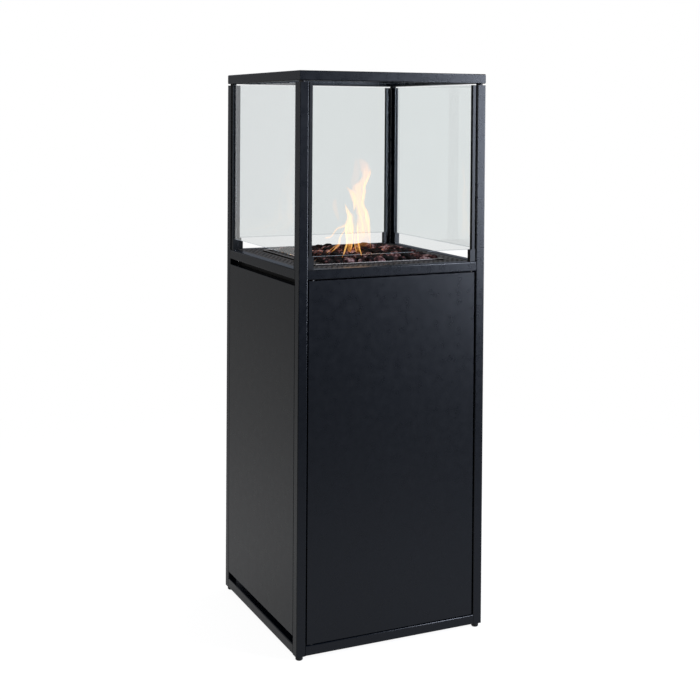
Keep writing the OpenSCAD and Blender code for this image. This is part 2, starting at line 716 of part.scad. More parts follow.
// Lava stones: one layer of rough solids with flat undersides in uneven rows
// of uneven cells; they are higher in the middle, and a ragged strip is bare
stone_span = grate_half - 2;
stone_gap = 0.6;
stone_sides = 7;
stone_rings = [[0.8, 0], [1, 0.35], [0.8, 0.78], [0.35, 1]];
function noise(i, j, n, lo, hi, salt) = rands(lo, hi, n, 1 + salt + 97 * i + 13 * j);
function sums(w) = [for (k = 0, s = 0; k <= len(w); s = s + (k < len(w) ? w[k] : 0), k = k + 1) s];
function bounds(salt) =
    let (s = sums(rands(0.72, 1.28, stone_rows, salt)))
    [for (v = s) stone_span * (2 * v / s[stone_rows] - 1)];
function heap(x, y) = 1 - 0.3 * norm([x, y]) / grate_half;
function covered(x, chance) = x > bare_w - grate_half + 30 * (chance - 0.5);
function fill(a) = pow(max(abs(cos(a)), abs(sin(a))), -0.6);
module stone(half_x, half_y, h, jag, start) {
    rings = len(stone_rings);
    points = [
        for (k = [0 : rings - 1], s = [0 : stone_sides - 1])
        let (
            a = start + s * 360 / stone_sides,
            q = fill(a) * stone_rings[k][0] * jag[k * stone_sides + s]
        )
        [half_x * q * cos(a), half_y * q * sin(a), h * stone_rings[k][1]]
    ];
    walls = [
        for (k = [0 : rings - 2], s = [0 : stone_sides - 1])
        let (a = k * stone_sides + s, b = k * stone_sides + (s + 1) % stone_sides)
        each [[a, a + stone_sides, b + stone_sides], [a, b + stone_sides, b]]
    ];
    top = (rings - 1) * stone_sides;
    ends = [for (s = [1 : stone_sides - 2]) each [[0, s, s + 1], [top, top + s + 1, top + s]]];
    polyhedron(points = points, faces = concat(walls, ends));
}
module lava_stones() color(stone_red) for (j = [0 : stone_rows - 1], i = [0 : stone_rows - 1]) {
    row = bounds(5);
    cell = bounds(11 + j);
    x = (cell[i] + cell[i + 1]) / 2;
    y = (row[j] + row[j + 1]) / 2;
    half_x = (cell[i + 1] - cell[i] - stone_gap) / 2;
    half_y = (row[j + 1] - row[j] - stone_gap) / 2;
    luck = noise(i, j, 3, 0, 1, 31);
    jag = noise(i, j, stone_sides * len(stone_rings), 0.8, 1, 71);
    h = (stone_low + (stone_high - stone_low) * luck[0]) * heap(x, y);
    if (covered(x, luck[1])) translate([x, y, z_grate]) stone(half_x, half_y, h, jag, 360 * luck[2]);
}

// Control bracket: a plate behind the door, hung from the front rail
control_y = -half + control_setback;
z_axis = z_deck - control_drop;
z_shelf = z_deck - deck_flange - deck_drop - 14;
plate_low = z_axis - knob_d / 2 - 4;
module control_bracket() color(black_coat) difference() {
    union() {
        box([bracket_x0, deck_face, z_shelf], [bracket_x1, deck_face + strap_t, z_sheet - deck_t]);
        box([bracket_x0, deck_face, z_shelf - strap_t], [bracket_x1, control_y + strap_t, z_shelf]);
        box([bracket_x0, control_y, plate_low], [bracket_x1, control_y + strap_t, z_shelf]);
    }
    at_deck_screws(0) rod_y([0, -1, 0], deck_screw_d + 2 * loose, deck_t + strap_t + 4);
    rod_y([tap_x, control_y - 1, z_axis], tap_neck_d + 2 * loose, strap_t + 2);
    rod_y([igniter_x, control_y - 1, z_axis], igniter_neck_d + 2 * loose, strap_t + 2);
}

// Nuts that hold the tap and the igniter on the plate
nut_t = 4;
module nut(x, neck_d) difference() {
    translate([x, control_y - nut_t, z_axis]) rotate([-90, 0, 0])
        cylinder(d = (neck_d + 4) / cos(30), h = nut_t, $fn = 6);
    rod_y([x, control_y - nut_t - 1, z_axis], neck_d + 2 * fit, nut_t + 2);
}
module control_nuts() color(brass) {
    nut(tap_x, tap_neck_d);
    nut(igniter_x, igniter_neck_d);
}

// Gas tap: the body with the plug's bore, the gas ways and the sensor's stub
tap_neck_d = plug_d + 6;
tap_front = control_y - nut_t - 1;
tap_rear = control_y + strap_t + 30;
tap_w = 32;
plug_reach = 24;
plug_front = tap_front + 0.5;
way_d = 3;
way_y = plug_front + plug_reach - 6;
outlet_x = tap_x + 10;
outlet_len = 8;
sensor_x = tap_x - 8;
sensor_z = z_axis - 8;
module tap_body() color(brass) difference() {
    union() {
        translate([tap_x, 0, z_axis]) box(
            [-tap_w / 2, control_y + strap_t, -tap_w / 2],
            [tap_w / 2, tap_rear, tap_w / 2]
        );
        rod_y([tap_x, tap_front, z_axis], tap_neck_d, control_y + strap_t - tap_front + 1);
        rod_y([outlet_x, tap_rear - 1, z_axis], pipe_d + 4, outlet_len + 1);
        rod_y([sensor_x, tap_rear - 1, sensor_z], 6, 5);
    }
    rod_y([tap_x, tap_front - 1, z_axis], plug_d + 2 * fit, plug_reach + 3);
    rod_y([outlet_x, way_y - way_d / 2, z_axis], pipe_d - 3, tap_rear + 10 - way_y);
    translate([tap_x, way_y, z_axis]) rotate([0, 90, 0]) cylinder(d = way_d, h = outlet_x - tap_x);
    translate([tap_x, way_y, z_axis - tap_w]) cylinder(d = stub_d - 3, h = tap_w);
}
// Plug: at rest its side way faces the wall, after a quarter turn its two
// wide ways join inlet and outlet, after a half turn the narrow one does
module tap_plug() color(steel) difference() {
    rod_y([tap_x, plug_front, z_axis], plug_d, plug_reach);
    rod_y([tap_x, plug_front - 1, z_axis], spindle_d + 2 * fit, 10 + knob_travel + 1);
    translate([tap_x, way_y, z_axis]) {
        rotate([180, 0, 0]) cylinder(d = way_d, h = plug_d);
        rotate([0, -90, 0]) cylinder(d = way_d, h = plug_d);
        cylinder(d = way_d / 3, h = plug_d);
    }
}

// Spindle: pressed into the knob, it slides in the plug
knob_gap = knob_travel + 2;
knob_rear = tap_front - knob_gap;
spindle_seat = 12;
module tap_spindle() color(steel)
    rod_y([tap_x, knob_rear - spindle_seat, z_axis], spindle_d, plug_front + 10 - knob_rear + spindle_seat);

// Knob
module control_knob() color(black_matt) {
    difference() {
        union() {
            rod_y([tap_x, knob_rear - knob_len, z_axis], knob_d * 0.84, knob_len);
            rod_y([tap_x, knob_rear - 6, z_axis], knob_d, 6);
            translate([tap_x - 3, knob_rear - knob_len - 1.5, z_axis - knob_d * 0.4])
                cube([6, 3, knob_d * 0.8]);
        }
        for (k = [0 : 11]) translate([tap_x, 0, z_axis]) rotate([0, 30 * k + 15, 0])
            rod_y([knob_d * 0.46, knob_rear - knob_len - 2, 0], 5, knob_len - 4);
        rod_y([tap_x, knob_rear - spindle_seat, z_axis], spindle_d + 2 * fit, spindle_seat + 1);
    }
}

// Spark igniter with its push button
igniter_neck_d = button_d + 4;
igniter_len = 40;
module igniter_body() color(black_matt) difference() {
    union() {
        rod_y([igniter_x, control_y + strap_t, z_axis], igniter_neck_d + 3, igniter_len - 6);
        rod_y([igniter_x, control_y - 6, z_axis], igniter_neck_d, igniter_len - 10);
    }
    rod_y([igniter_x, control_y - 7, z_axis], button_d + 2 * fit, button_travel + 16);
}
button_front = control_y - 6 - button_travel - 3;
module igniter_button() color("#a33224") difference() {
    rod_y([igniter_x, button_front, z_axis], button_d, control_y - 7 + 14 - button_front);
    rod_y([igniter_x, button_front - 1, z_axis], button_d - 5, 1.6);
}

// Swept tubes: a path with rounded corners and a ring at each point
function unit(v) = v / norm(v);
function corner(a, b, c, r, n) =
    let (u = unit(a - b), w = unit(c - b), bend = 180 - acos(u * w), reach = r * tan(bend / 2),
        mid = b + unit(u + w) * r / cos(bend / 2), s = b + u * reach - mid, e = b + w * reach - mid)
    [for (k = [0 : n]) mid + (sin((1 - k / n) * bend) * s + sin(k / n * bend) * e) / sin(bend)];
function rounded(path, r, n) = [
    path[0],
    for (k = [1 : len(path) - 2]) each corner(path[k - 1], path[k], path[k + 1], r, n),
    path[len(path) - 1]
];
function tangent(p, k) = unit(p[min(k + 1, len(p) - 1)] - p[max(k - 1, 0)]);
function across(n, t) = unit(n - (n * t) * t);
module swept_tube(path, d, bend_r, sides, first) {
    p = rounded(path, bend_r, 4);
    normals = [for (k = 0, n = across(first, tangent(p, 0)); k < len(p);
        k = k + 1, n = across(n, tangent(p, min(k, len(p) - 1)))) n];
    points = [
        for (k = [0 : len(p) - 1], s = [0 : sides - 1])
        let (t = tangent(p, k), a = s * 360 / sides)
        p[k] + d / 2 * (cos(a) * normals[k] + sin(a) * cross(t, normals[k]))
    ];
    last = (len(p) - 1) * sides;
    walls = [
        for (k = [0 : len(p) - 2], s = [0 : sides - 1])
        let (a = k * sides + s, b = k * sides + (s + 1) % sides)
        each [[a, a + sides, b + sides], [a, b + sides, b]]
    ];
    ends = [for (s = [1 : sides - 2]) each [[0, s, s + 1], [last, last + s + 1, last + s]]];
    polyhedron(points = points, faces = concat(walls, ends));
}

// Gas pipe from the tap to the mixer
pipe_drop = 26;
z_pipe_low = z_mixer - pipe_drop;
module gas_pipe() color("#b87333") swept_tube([
    [outlet_x, tap_rear + outlet_len, z_axis], [outlet_x, 0, z_axis], [outlet_x, 0, z_pipe_low],
    [0, 0, z_pipe_low], [0, 0, z_mixer - jet_len]
], pipe_d, pipe_bend, 12, [0, 0, 1]);

// Spark electrode: a ceramic rod with its pin and collar, and its lead
z_probe = z_tray - 9;
z_spark = z_tray - 21;
z_sensor_run = z_tray - 27;
spark_route_y = -72;
sensor_route_y = -60;
module spark_electrode() color(white_ceramic) translate([probe_at, -probe_at, z_probe]) {
    cylinder(d = 6, h = 28);
    translate([0, 0, 9 + tray_t]) cylinder(d = 9, h = 3);
    translate([0, 0, 28]) cylinder(d = 2, h = 8);
    translate([0, 0, 35]) rotate([-90, 0, 0]) cylinder(d = 2, h = 10);
}
module ignition_lead() color("#7a2a20") swept_tube([
    [igniter_x, control_y + strap_t + igniter_len - 6, z_axis], [igniter_x, spark_route_y, z_axis],
    [igniter_x, spark_route_y, z_spark], [probe_at, spark_route_y, z_spark],
    [probe_at, -probe_at, z_spark], [probe_at, -probe_at, z_probe]
], 3, 6, 8, [0, 0, 1]);

// Flame sensor: a tube with a round tip and a collar, and its lead
module flame_sensor() color(steel) translate([-probe_at, -probe_at, z_probe]) {
    cylinder(d = 5, h = 34);
    translate([0, 0, 9 + tray_t]) cylinder(d = 9, h = 3);
    translate([0, 0, 34]) sphere(d = 5, $fn = 32);
}
module sensor_lead() color("#b87333") swept_tube([
    [sensor_x, tap_rear + 4, sensor_z], [sensor_x, sensor_route_y, sensor_z],
    [sensor_x, sensor_route_y, z_sensor_run], [-probe_at, sensor_route_y, z_sensor_run],
    [-probe_at, -probe_at, z_sensor_run], [-probe_at, -probe_at, z_probe]
], 2.5, 6, 8, [0, 0, 1]);

// Gas stub under the tap: a nut and a plain pipe end with a bevelled tip
stub_nut_h = 7;
module gas_stub() color(brass) translate([tap_x, way_y, z_axis - tap_w / 2]) difference() {
    union() {
        translate([0, 0, -stub_nut_h]) cylinder(d = stub_d + 6, h = stub_nut_h, $fn = 6);
        translate([0, 0, -stub_nut_h - stub_len + 1]) cylinder(d = stub_d, h = stub_len);
        translate([0, 0, -stub_nut_h - stub_len]) cylinder(d1 = stub_d - 1.5, d2 = stub_d, h = 1);
    }
    translate([0, 0, -stub_nut_h - stub_len - 1]) cylinder(d = stub_d - 3, h = stub_nut_h + stub_len + 2);
}

post_front_left();
post_rear_left();
post_rear_right();
post_front_right();
floor_rail_front();
floor_rail_left();
floor_rail_rear();
floor_rail_right();
deck_rail_front();
deck_rail_left();
deck_rail_rear();
deck_rail_right();
feet();
post_top_plugs();
cap_frame();
cap_spacers();
cap_studs();
panel_left();
panel_rear();
panel_right();
frame_screws();
floor_plate();
door_panel();
door_stiffeners();
hinge_pins();
hinge_bushes();
door_stops();
latch_body();
latch_plunger();
strike_plate();
glass_front();
glass_left();
glass_rear();
glass_right();
glass_channels();
channel_clips();
pane_blocks();
deck_grille();
tray_hangers();
burner_tray();
bar_burner();
gas_mixer();
stone_grate();
lava_stones();
heat_shield();
shield_spacers();
control_bracket();
control_nuts();
tap_body();
tap_plug();
tap_spindle();
control_knob();
igniter_body();
igniter_button();
spark_electrode();
ignition_lead();
flame_sensor();
sensor_lead();
gas_pipe();
gas_stub();
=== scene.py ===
"""Gas fire column: finishes on the CAD frame, rough lava stones, a flame, and
a plain pale studio seen from the photograph's angle. Lengths are in metres;
mm turns millimetres into metres."""

import json
import math
import random

import bmesh
import bpy
from mathutils import Matrix, Vector, noise


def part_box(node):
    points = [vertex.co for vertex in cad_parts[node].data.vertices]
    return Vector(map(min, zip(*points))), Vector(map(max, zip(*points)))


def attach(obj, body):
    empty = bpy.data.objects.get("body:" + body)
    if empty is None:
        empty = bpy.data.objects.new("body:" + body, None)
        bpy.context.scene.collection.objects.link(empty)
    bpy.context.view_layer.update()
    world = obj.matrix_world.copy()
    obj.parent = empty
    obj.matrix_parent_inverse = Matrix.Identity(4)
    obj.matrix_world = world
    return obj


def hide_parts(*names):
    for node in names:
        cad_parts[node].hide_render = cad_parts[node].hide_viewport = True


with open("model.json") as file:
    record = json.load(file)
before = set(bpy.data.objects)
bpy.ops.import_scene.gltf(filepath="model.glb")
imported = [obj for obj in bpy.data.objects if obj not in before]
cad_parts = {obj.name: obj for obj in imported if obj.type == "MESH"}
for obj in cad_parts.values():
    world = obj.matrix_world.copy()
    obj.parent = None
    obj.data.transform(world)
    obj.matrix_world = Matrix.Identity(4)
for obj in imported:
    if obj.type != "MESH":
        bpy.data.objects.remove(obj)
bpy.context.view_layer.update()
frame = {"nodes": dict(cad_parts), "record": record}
nodes = frame["nodes"]
scene = bpy.context.scene
scene.view_settings.view_transform = "Standard"

mm = 0.001
white = (1.0, 1.0, 1.0)

# How white the backdrop and the floor look through a pane
white_behind_glass = 0.88

# The photograph's viewing direction, clockwise from straight at the door, and
# level directions across its picture and away from its camera
view_turn = math.radians(24.94)
across = Vector((math.cos(view_turn), -math.sin(view_turn), 0))
away = Vector((math.sin(view_turn), math.cos(view_turn), 0))


# Node trees

# Places of a mix node's two ends and its result, which share their names
number_ends = (2, 3)
number_result = 0
colour_ends = (6, 7)
colour_result = 2


def add(tree, kind, sockets=None, **settings):
    """A new node with the given settings, and values or links for its sockets."""
    node = tree.nodes.new(kind)
    for name, value in settings.items():
        setattr(node, name, value)
    for name, value in (sockets or {}).items():
        if isinstance(value, bpy.types.NodeSocket):
            tree.links.new(value, node.inputs[name])
        else:
            node.inputs[name].default_value = value
    return node


def new_material(name):
    """An empty material and its node tree."""
    material = bpy.data.materials.new(name)
    material.use_nodes = True
    material.node_tree.nodes.clear()
    return material, material.node_tree


def place(tree, stretch=(1, 1, 1)):
    """Coordinates in metres, times stretch, that stay on the piece as it moves."""
    where = add(tree, "ShaderNodeTexCoord")
    mapping = add(tree, "ShaderNodeMapping", {"Vector": where.outputs["Object"], "Scale": stretch})
    return mapping.outputs["Vector"]


def part_of(tree, vector, axis):
    """The part of a vector along the axis X, Y or Z."""
    return add(tree, "ShaderNodeSeparateXYZ", {"Vector": vector}).outputs[axis]


def attribute(tree, name):
    """A number that the mesh carries on its vertices."""
    return add(tree, "ShaderNodeAttribute", attribute_name=name).outputs["Fac"]


def speckle(tree, vector, scale, detail):
    """Noise from 0 to 1, with about scale spots to the metre."""
    made = add(tree, "ShaderNodeTexNoise", {"Vector": vector, "Scale": scale, "Detail": detail})
    return made.outputs["Fac"]


def computed(tree, operation, *values):
    """The result of a math node for numbers or sockets."""
    made = add(tree, "ShaderNodeMath", dict(enumerate(values)), operation=operation)
    return made.outputs["Value"]


def mapped(tree, value, start, end, low=0.0, high=1.0, smooth=False):
    """Brings start to low and end to high, and holds those beyond the ends."""
    made = add(tree, "ShaderNodeMapRange", {
        "Value": value, "From Min": start, "From Max": end, "To Min": low, "To Max": high,
    }, interpolation_type="SMOOTHSTEP" if smooth else "LINEAR")
    return made.outputs["Result"]


def ranged(tree, value, low, high):
    """A value from 0 to 1 brought to low to high."""
    return mapped(tree, value, 0, 1, low, high)


def between(tree, factor, first, second):
    """A mix of two numbers, each given as a socket."""
    ends = dict(zip(number_ends, (first, second)))
    return add(tree, "ShaderNodeMix", {"Factor": factor, **ends}).outputs[number_result]


def tinted(tree, factor, first, second):
    """A mix of two colours, each given as three numbers or as a socket."""
    sockets = {"Factor": factor}
    for end, colour in zip(colour_ends, (first, second)):
        sockets[end] = colour if isinstance(colour, bpy.types.NodeSocket) else (*colour, 1)
    return add(tree, "ShaderNodeMix", sockets, data_type="RGBA").outputs[colour_result]


def ramped(tree, value, stops):
    """A colour for a value from 0 to 1, by stops of position and colour."""
    ramp = add(tree, "ShaderNodeValToRGB", {"Fac": value})
    while len(ramp.color_ramp.elements) < len(stops):
        ramp.color_ramp.elements.new(0.5)
    for element, (position, colour) in zip(ramp.color_ramp.elements, stops):
        element.position = position
        element.color = (*colour, 1)
    return ramp.outputs["Color"]


def shade(colour, factor):
    """A colour made darker or lighter by a factor."""
    return tuple(min(1.0, c * factor) for c in colour)


def bumped(tree, height, strength, distance, under=None):
    """Bumps of the given height, on top of the bumps under them."""
    sockets = {"Height": height, "Strength": strength, "Distance": distance}
    if under is not None:
        sockets["Normal"] = under
    return add(tree, "ShaderNodeBump", sockets).outputs["Normal"]


def overlaid(tree, factor, first, second):
    """A mix of two shaders, each given as a socket."""
    return add(tree, "ShaderNodeMixShader", {0: factor, 1: first, 2: second}).outputs["Shader"]


def surfaced(tree, shader, kind="ShaderNodeOutputMaterial"):
    """Ends a tree with its output."""
    add(tree, kind, {"Surface": shader})


def principled(tree, sockets):
    """Ends a material's tree with the usual shader."""
    surfaced(tree, add(tree, "ShaderNodeBsdfPrincipled", sockets).outputs["BSDF"])


def straight_view(tree):
    """The light path node, a 1 for rays that only passed through panes, and a 1
    for those and for the camera's own; both are 0 for bounced light."""
    path = add(tree, "ShaderNodeLightPath")
    bounces = computed(tree, "ADD", path.outputs["Glossy Depth"], path.outputs["Diffuse Depth"])
    direct = computed(tree, "LESS_THAN", bounces, 0.5)
    through = computed(tree, "MULTIPLY", path.outputs["Is Transmission Ray"], direct)
    seen = computed(tree, "MAXIMUM", path.outputs["Is Camera Ray"], through)
    return path, through, seen


# Finishes


def powder_coat(name, colour, roughness=0.27, specular=0.5, painted_shade_below=None):
    """A fine textured coat with faint clouds of tone. What lies lower than
    the given height is painted near black, a painted shade with a soft edge."""
    # Painted shade: near black for what lies low, fading in over a few millimetres
    painted_shade = (0.0015, 0.0015, 0.002)
    painted_shade_edge = 4 * mm
    material, tree = new_material(name)
    vector = place(tree)
    clouds = speckle(tree, vector, scale=9, detail=4)
    grain = speckle(tree, vector, scale=1100, detail=2)
    peel = speckle(tree, vector, scale=240, detail=2)
    dust = speckle(tree, vector, scale=60, detail=6)
    tone = tinted(tree, clouds, shade(colour, 0.9), shade(colour, 1.12))
    # Painted shade towards the bottom, mixed in by height
    if painted_shade_below is not None:
        height = part_of(tree, vector, "Z")
        second_tone = mapped(tree, height, start=painted_shade_below, end=painted_shade_below - painted_shade_edge)
        tone = tinted(tree, second_tone, tone, painted_shade)
    normal = bumped(tree, peel, strength=0.08, distance=0.12 * mm)
    normal = bumped(tree, grain, strength=0.2, distance=0.04 * mm, under=normal)
    principled(tree, {
        "Base Color": tone,
        "Roughness": ranged(tree, dust, low=roughness - 0.05, high=roughness + 0.07),
        "Specular IOR Level": specular,
        "Normal": normal,
    })
    return material


def moulded(name, colour, roughness):
    """Moulded plastic or rubber with a spark eroded grain."""
    material, tree = new_material(name)
    vector = place(tree)
    grain = speckle(tree, vector, scale=1500, detail=3)
    clouds = speckle(tree, vector, scale=35, detail=3)
    principled(tree, {
        "Base Color": tinted(tree, clouds, shade(colour, 0.85), shade(colour, 1.15)),
        "Roughness": ranged(tree, grain, low=roughness - 0.06, high=roughness + 0.1),
        "Normal": bumped(tree, grain, strength=0.4, distance=0.06 * mm),
    })
    return material


def metal(name, colour, roughness, stretch=(1, 1, 12), stains=None):
    """Drawn or brushed metal; stains is the colour of its stains or heat tint."""
    material, tree = new_material(name)
    lines = speckle(tree, place(tree, stretch), scale=700, detail=2)
    patches = speckle(tree, place(tree), scale=28, detail=5)
    principled(tree, {
        "Base Color": tinted(tree, patches, colour, stains or shade(colour, 0.72)),
        "Roughness": ranged(tree, lines, low=roughness - 0.08, high=roughness + 0.14),
        "Normal": bumped(tree, lines, strength=0.2, distance=0.04 * mm),
        "Metallic": 1.0,
    })
    return material


def sooted(name, second_tone, soot_and_shade, bare_top_from):
    """Steel darkened by the fire's soot, and on the rim's lower side by painted shade.
    What lies higher than the given height shows bare steel, with an uneven edge."""
    uneven = 0.4 * mm
    bare_top_edge = 0.6 * mm
    material, tree = new_material(name)
    vector = place(tree)
    patches = speckle(tree, vector, scale=45, detail=5)
    grain = speckle(tree, vector, scale=600, detail=3)
    wander = ranged(tree, patches, low=-uneven, high=uneven)
    height = computed(tree, "ADD", part_of(tree, vector, "Z"), wander)
    bare_top = mapped(tree, height, start=bare_top_from, end=bare_top_from + bare_top_edge)
    # Soot, and painted shade on the rim's lower side
    dark = tinted(tree, patches, soot_and_shade, shade(soot_and_shade, 2.2))
    principled(tree, {
        "Base Color": tinted(tree, bare_top, dark, second_tone),
        "Roughness": ranged(tree, grain, low=0.34, high=0.52),
        "Normal": bumped(tree, grain, strength=0.2, distance=0.05 * mm),
        "Metallic": 1.0,
    })
    return material


def glazed(name, colour):
    """Smooth ceramic with an almost even glaze."""
    material, tree = new_material(name)
    vector = place(tree)
    clouds = speckle(tree, vector, scale=90, detail=4)
    ripples = speckle(tree, vector, scale=400, detail=2)
    principled(tree, {
        "Base Color": tinted(tree, clouds, shade(colour, 0.9), colour),
        "Roughness": ranged(tree, clouds, low=0.14, high=0.3),
        "Normal": bumped(tree, ripples, strength=0.1, distance=0.05 * mm),
    })
    return material


def float_glass(name, tint, bottom):
    """Clear panes with a painted shade, a darker tint, along their lower edge at the
    height bottom. Light, and what other pieces mirror, passes straight through with the same tint."""
    clear_from = 2.2 * mm
    lower_edge_shade_to = 1 * mm
    material, tree = new_material(name)
    vector = place(tree)
    haze = speckle(tree, vector, scale=16, detail=3)
    height = part_of(tree, vector, "Z")
    # Painted shade: a darker tint in a thin band along the pane's lower edge
    lower_edge_shade = mapped(tree, height, start=bottom + clear_from, end=bottom + lower_edge_shade_to)
    body = tinted(tree, haze, shade(tint, 0.99), shade(tint, 1.01))
    pane = add(tree, "ShaderNodeBsdfPrincipled", {
        "Base Color": tinted(tree, lower_edge_shade, body, shade(tint, 0.85)),
        "Roughness": 0.0,
        "IOR": 1.5,
        "Transmission Weight": 1.0,
    })
    passing = add(tree, "ShaderNodeBsdfTransparent", {"Color": (*tint, 1)})
    path = add(tree, "ShaderNodeLightPath")
    straight = computed(
        tree, "MAXIMUM", path.outputs["Is Camera Ray"], path.outputs["Is Transmission Ray"],
    )
    surfaced(tree, overlaid(tree, straight, passing.outputs["BSDF"], pane.outputs["BSDF"]))
    return material


def lava(name):
    """Porous stone, from black to dusty red in blotches. Each stone leans to its
    own tone, which its vertices carry."""
    stops = [
        (0.0, (0.002, 0.0015, 0.0018)),
        (0.38, (0.006, 0.0028, 0.003)),
        (0.56, (0.035, 0.011, 0.011)),
        (0.76, (0.15, 0.06, 0.058)),
        (1.0, (0.38, 0.25, 0.25)),
    ]
    contrast = 2.6
    lowered = -1.13
    lean = 0.78
    material, tree = new_material(name)
    vector = place(tree)
    blotches = speckle(tree, vector, scale=95, detail=6)
    blotches = computed(tree, "MULTIPLY_ADD", blotches, contrast, lowered)
    tone = computed(tree, "MULTIPLY_ADD", attribute(tree, "tone"), lean, blotches)
    pits = add(tree, "ShaderNodeTexVoronoi", {"Vector": vector, "Scale": 420}).outputs["Distance"]
    crust = speckle(tree, vector, scale=260, detail=6)
    normal = bumped(tree, crust, strength=0.9, distance=1.1 * mm)
    normal = bumped(tree, pits, strength=0.8, distance=0.9 * mm, under=normal)
    principled(tree, {
        "Base Color": ramped(tree, tone, stops),
        "Roughness": ranged(tree, crust, low=0.7, high=1.0),
        "Specular IOR Level": 0.25,
        "Normal": normal,
    })
    return material


def fire(name):
    """Gas flame. Its glow lies over what is behind it, so that it is cream over
    the backdrop and orange over the stones. The sheets carry their density."""
    by_height = [
        (733 * mm, (1.0, 0.24, 0.01)), (760 * mm, (1.0, 0.33, 0.02)),
        (800 * mm, (1.0, 0.42, 0.05)), (850 * mm, (1.0, 0.34, 0.05)),
        (880 * mm, (1.0, 0.34, 0.09)), (940 * mm, (1.0, 0.24, 0.08)),
    ]
    hottest = (1.0, 0.60, 0.17)
    brightness = 6.0
    hiding = 0.16
    low = by_height[0][0]
    high = by_height[-1][0]
    material, tree = new_material(name)
    height = part_of(tree, place(tree), "Z")
    stops = [((level - low) / (high - low), colour) for level, colour in by_height]
    mantle = ramped(tree, mapped(tree, height, start=low, end=high), stops)
    streaks = speckle(tree, place(tree, (1, 1, 0.16)), scale=170, detail=3)
    streaks = ranged(tree, streaks, low=0.25, high=1.5)
    density = computed(tree, "MULTIPLY", streaks, attribute(tree, "cover"))
    hot = tinted(tree, density, mantle, hottest)
    glow = add(tree, "ShaderNodeEmission", {"Color": hot, "Strength": brightness})
    clear = add(tree, "ShaderNodeBsdfTransparent")
    share = computed(tree, "MULTIPLY", density, hiding)
    surfaced(tree, overlaid(tree, share, clear.outputs["BSDF"], glow.outputs["Emission"]))
    return material


finishes = {
    "frame_coating": powder_coat("frame_coating", (0.0009, 0.0030, 0.0075)),
    "panel_coating": powder_coat("panel_coating", (0.0010, 0.0030, 0.0072), roughness=0.28),
    "bracket_coating": powder_coat("bracket_coating", (0.003, 0.004, 0.006), roughness=0.34),
    "glazing_black": powder_coat("glazing_black", (0.0015, 0.003, 0.005), roughness=0.36),
    # Painted shade: the deck's folds below 722 mm are coloured near black for the dark slot they
    # sit in
    "deck_coating": powder_coat(
        "deck_coating", (0.058, 0.053, 0.049), roughness=0.52, specular=0.35, painted_shade_below=722 * mm,
    ),
    "black_plastic": moulded("black_plastic", (0.012, 0.012, 0.013), roughness=0.48),
    "control_plastic": moulded("control_plastic", (0.016, 0.016, 0.018), roughness=0.42),
    # Painted shade: the hinge bushes are coloured near black for the shade of the deep door gap;
    # their own acetal is pale
    "bush_plastic": moulded("bush_plastic", (0.010, 0.010, 0.010), roughness=0.5),
    "red_plastic": moulded("red_plastic", (0.42, 0.035, 0.028), roughness=0.3),
    "lead_rubber": moulded("lead_rubber", (0.2, 0.03, 0.02), roughness=0.6),
    "zinc_steel": metal("zinc_steel", (0.56, 0.57, 0.58), roughness=0.36, stretch=(1, 1, 1)),
    "bright_steel": metal("bright_steel", (0.62, 0.63, 0.64), roughness=0.26),
    "sensor_steel": metal(
        "sensor_steel", (0.5, 0.48, 0.45), roughness=0.3, stains=(0.36, 0.27, 0.2),
    ),
    # Painted shade: below 733.8 mm the rim's lower side is as dark as the soot; only its top shows
    # bare steel
    "burner_steel": sooted(
        "burner_steel", second_tone=(0.5, 0.47, 0.45), soot_and_shade=(0.04, 0.036, 0.034), bare_top_from=733.8 * mm,
    ),
    "brass": metal("brass", (0.62, 0.44, 0.18), roughness=0.3),
    "copper": metal("copper", (0.66, 0.33, 0.19), roughness=0.3),
    "electrode_ceramic": glazed("electrode_ceramic", (0.8, 0.78, 0.72)),
    "clear_glass": float_glass(
        "clear_glass", tint=(0.965, 0.99, 0.99), bottom=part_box("glass_front")[0].z,
    ),
    "lava_stone": lava("lava_stone"),
}

for subpart in frame["record"]["subparts"]:
    node = nodes[subpart["node"]]
    if not node.material_slots:
        node.data.materials.append(None)
    for material_slot in node.material_slots:
        material_slot.material = finishes[subpart["material_slot"]]


# Small corner radii of folded sheets and square tubes

radii = {"cap_frame": 0.9 * mm}
for panel in ("door_panel", "panel_left", "panel_rear", "panel_right"):
    radii[panel] = 0.7 * mm
for corner in ("front_left", "front_right", "rear_left", "rear_right"):
    radii["post_" + corner] = 0.12 * mm
for side in ("front", "left", "rear", "right"):
    radii["deck_rail_" + side] = 0.25 * mm
    radii["floor_rail_" + side] = 0.25 * mm

for name, radius in radii.items():
    weld = nodes[name].modifiers.new("weld", "WELD")
    weld.merge_threshold = 0.02 * mm
    bend = nodes[name].modifiers.new("bend", "BEVEL")
    bend.width = radius
    bend.segments = 3
    bend.limit_method = "ANGLE"
    bend.angle_limit = math.radians(40)
    bend.harden_normals = True


# Pieces that only the scene has


def mesh_object(name, bm):
    """Turns a finished bmesh into an object of the scene."""
    mesh = bpy.data.meshes.new(name)
    bm.to_mesh(mesh)
    bm.free()
    made = bpy.data.objects.new(name, mesh)
    scene.collection.objects.link(made)
    return made


def piece_from(name, bm, body, material):
    """A visible piece that moves with a body."""
    piece = mesh_object(name, bm)
    piece.data.materials.append(material)
    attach(piece, body)
    return piece


# Lava stones


def islands(bm):
    """The vertices of each separate shell."""
    left = set(bm.verts)
    while left:
        found = [left.pop()]
        for vert in found:
            for edge in vert.link_edges:
                other = edge.other_vert(vert)
                if other in left:
                    left.remove(other)
                    found.append(other)
        yield found


def first_corner(verts):
    """Where a stone begins, which gives the stones a fixed order."""
    return min((round(v.co.x, 5), round(v.co.y, 5)) for v in verts)


